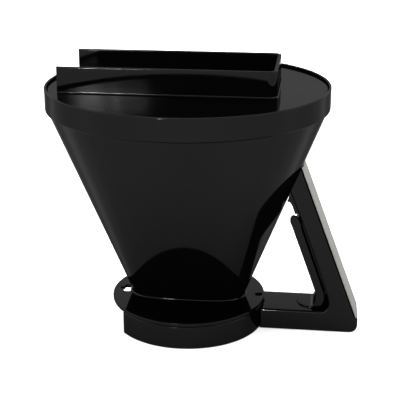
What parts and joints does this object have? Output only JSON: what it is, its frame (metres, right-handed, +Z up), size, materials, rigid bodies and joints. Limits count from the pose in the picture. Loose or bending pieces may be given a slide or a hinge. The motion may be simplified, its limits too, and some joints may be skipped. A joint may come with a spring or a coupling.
{
  "type": "coffee maker filter holder",
  "caption": "Cone filter holder for a drip coffee maker, with a lift-off lid, a jug collar, a handle with a squeeze lever and latch, and a sprung drip valve.",
  "frame": {"origin": "on the surface it stands on, under the middle of its overall box; the cone's axis is at x = -9 mm", "axes": "+X from the cone towards the handle, +Z up along the cone's axis, +Y to the left of someone who faces +X"},
  "size_m": [0.159, 0.141, 0.1374],
  "materials": {
    "shell": "moulded black plastic, polished tool, faint flow marks",
    "trim": "satin anodised strip, brushed along its length",
    "cover": "fine spark-eroded black plastic",
    "inner_plastic": "natural grey moulded plastic",
    "seal": "soft moulded silicone",
    "steel": "plain stainless wire and turned steel"
  },
  "bodies": {
    "holder": {"filter_cone": "shell", "collar_handle": "shell", "grip_trim": "trim", "arm_cover": "cover", "lever_pin": "steel", "latch_spring": "steel", "valve_housing": "inner_plastic", "housing_seal": "seal", "valve_spring": "steel", "locating_peg": "steel", "collar_screw_1": "steel", "collar_screw_2": "steel", "collar_screw_3": "steel", "collar_screw_4": "steel", "cover_screw_1": "steel", "cover_screw_2": "steel"},
    "lid": {"lid": "shell"},
    "lever": {"squeeze_lever": "shell"},
    "latch": {"latch_bar": "inner_plastic"},
    "valve": {"valve_plunger": "inner_plastic", "valve_washer": "seal"}
  },
  "joints": [
    {"name": "lid_lift", "type": "slide", "parent": "holder", "child": "lid", "axis": [0, 0, 1], "range_m": [0, 0.04]},
    {"name": "lever_squeeze", "type": "hinge", "parent": "holder", "child": "lever", "pos_m": [0.0545, 0, 0.056], "axis": [0, -1, 0], "range_deg": [0, 5], "stiffness_Nm_per_rad": 0.3, "springref_deg": -5.73},
    {"name": "latch_slide", "type": "slide", "parent": "holder", "child": "latch", "axis": [1, 0, 0], "range_m": [0, 0.0046], "deforming": ["latch_spring"]},
    {"name": "valve_lift", "type": "slide", "parent": "holder", "child": "valve", "axis": [0, 0, 1], "range_m": [0, 0.003], "stiffness_N_per_m": 60, "springref_m": -0.004, "deforming": ["valve_spring"]}
  ],
  "couplings": [
    {"joint": "latch_slide", "follows": "lever_squeeze", "m_per_rad": 0.0506}
  ]
}
